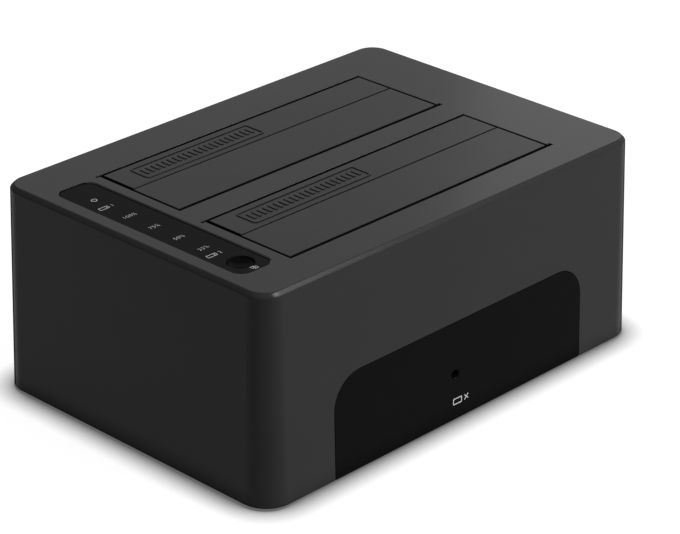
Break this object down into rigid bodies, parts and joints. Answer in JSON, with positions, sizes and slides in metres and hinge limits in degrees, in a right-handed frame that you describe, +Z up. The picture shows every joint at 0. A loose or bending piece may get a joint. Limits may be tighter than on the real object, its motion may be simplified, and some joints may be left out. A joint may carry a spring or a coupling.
{
  "type": "hard drive docking station",
  "caption": "Box-shaped desktop dock that takes bare drives upright through sprung flaps in its top, with an indicator strip, a push button, a front gloss panel and rear ports.",
  "frame": {"origin": "centre of the base on the standing surface, under the feet", "axes": "+X to the right along the front face, +Y to the rear, +Z up"},
  "size_m": [0.1546, 0.1092, 0.0639],
  "materials": {
    "housing_abs": "fine moulded texture",
    "frame_abs": "plain moulded",
    "flap_abs": "fine moulded texture",
    "foot_rubber": "soft matte",
    "screw_steel": "zinc plated",
    "pin_steel": "ground",
    "spring_steel": "drawn wire",
    "gloss_black": "polished",
    "circuit_board": "solder mask",
    "chip_black": "moulded epoxy",
    "can_metal": "bright can",
    "socket_black": "moulded nylon",
    "rocker_black": "polished",
    "contact_gold": "gold plated",
    "plated_metal": "nickel plated",
    "tongue_blue": "moulded nylon",
    "lamp_clear": "clear resin",
    "pale_plastic": "moulded",
    "ribbon_grey": "vinyl"
  },
  "bodies": {
    "dock_body": {"upper_housing": "housing_abs", "base_cover": "housing_abs", "rear_bay_frame": "frame_abs", "front_bay_frame": "frame_abs", "rubber_feet": "foot_rubber", "base_screws": "screw_steel", "bay_frame_screws": "screw_steel", "main_board_screws": "screw_steel", "indicator_board_screws": "screw_steel", "rear_bay_narrow_pin": "pin_steel", "rear_bay_wide_pin": "pin_steel", "front_bay_narrow_pin": "pin_steel", "front_bay_wide_pin": "pin_steel", "rear_bay_narrow_spring": "spring_steel", "rear_bay_wide_spring": "spring_steel", "front_bay_narrow_spring": "spring_steel", "front_bay_wide_spring": "spring_steel", "front_panel": "gloss_black", "indicator_strip": "gloss_black", "main_board": "circuit_board", "indicator_board": "circuit_board", "bridge_chip": "chip_black", "memory_chip": "chip_black", "coils": "chip_black", "crystal": "can_metal", "capacitors": "can_metal", "rear_bay_socket": "socket_black", "front_bay_socket": "socket_black", "dc_jack": "socket_black", "switch_body": "socket_black", "copy_switch_body": "socket_black", "erase_switch_body": "socket_black", "rear_bay_contacts": "contact_gold", "front_bay_contacts": "contact_gold", "usb_contacts": "contact_gold", "dc_jack_pin": "plated_metal", "usb_shell": "plated_metal", "usb_tongue": "tongue_blue", "indicator_lamps": "lamp_clear", "light_shield": "pale_plastic", "link_headers": "pale_plastic", "link_ribbon": "ribbon_grey"},
    "rear_bay_narrow_lid": {"rear_bay_narrow_flap": "flap_abs"},
    "rear_bay_wide_lid": {"rear_bay_wide_flap": "flap_abs"},
    "front_bay_narrow_lid": {"front_bay_narrow_flap": "flap_abs"},
    "front_bay_wide_lid": {"front_bay_wide_flap": "flap_abs"},
    "copy_key": {"copy_button": "gloss_black", "copy_switch_stem": "pale_plastic"},
    "erase_key": {"erase_switch_stem": "pale_plastic"},
    "power_key": {"switch_rocker": "rocker_black"}
  },
  "joints": [
    {"name": "rear_bay_narrow_hinge", "type": "hinge", "parent": "dock_body", "child": "rear_bay_narrow_lid", "pos_m": [-0.00044, 0.03546, 0.06175], "axis": [1, 0, 0], "range_deg": [0, 90], "stiffness_Nm_per_rad": 0.002, "springref_deg": -28.65, "deforming": ["rear_bay_narrow_spring"]},
    {"name": "rear_bay_wide_hinge", "type": "hinge", "parent": "dock_body", "child": "rear_bay_wide_lid", "pos_m": [-0.00044, 0.00436, 0.06175], "axis": [-1, 0, 0], "range_deg": [0, 90], "stiffness_Nm_per_rad": 0.002, "springref_deg": -28.65, "deforming": ["rear_bay_wide_spring"]},
    {"name": "front_bay_narrow_hinge", "type": "hinge", "parent": "dock_body", "child": "front_bay_narrow_lid", "pos_m": [-0.00044, -0.00775, 0.06175], "axis": [1, 0, 0], "range_deg": [0, 90], "stiffness_Nm_per_rad": 0.002, "springref_deg": -28.65, "deforming": ["front_bay_narrow_spring"]},
    {"name": "front_bay_wide_hinge", "type": "hinge", "parent": "dock_body", "child": "front_bay_wide_lid", "pos_m": [-0.00044, -0.03884, 0.06175], "axis": [-1, 0, 0], "range_deg": [0, 90], "stiffness_Nm_per_rad": 0.002, "springref_deg": -28.65, "deforming": ["front_bay_wide_spring"]},
    {"name": "copy_button_press", "type": "slide", "parent": "dock_body", "child": "copy_key", "axis": [0, 0, -1], "range_m": [0, 0.0004], "stiffness_N_per_m": 400, "springref_m": -0.0005},
    {"name": "erase_switch_press", "type": "slide", "parent": "dock_body", "child": "erase_key", "axis": [0, 1, 0], "range_m": [0, 0.0004], "stiffness_N_per_m": 400, "springref_m": -0.0005},
    {"name": "power_rocker_tilt", "type": "hinge", "parent": "dock_body", "child": "power_key", "pos_m": [-0.011, 0.05081, 0.0153], "axis": [0, 0, 1], "range_deg": [0, 18]}
  ]
}
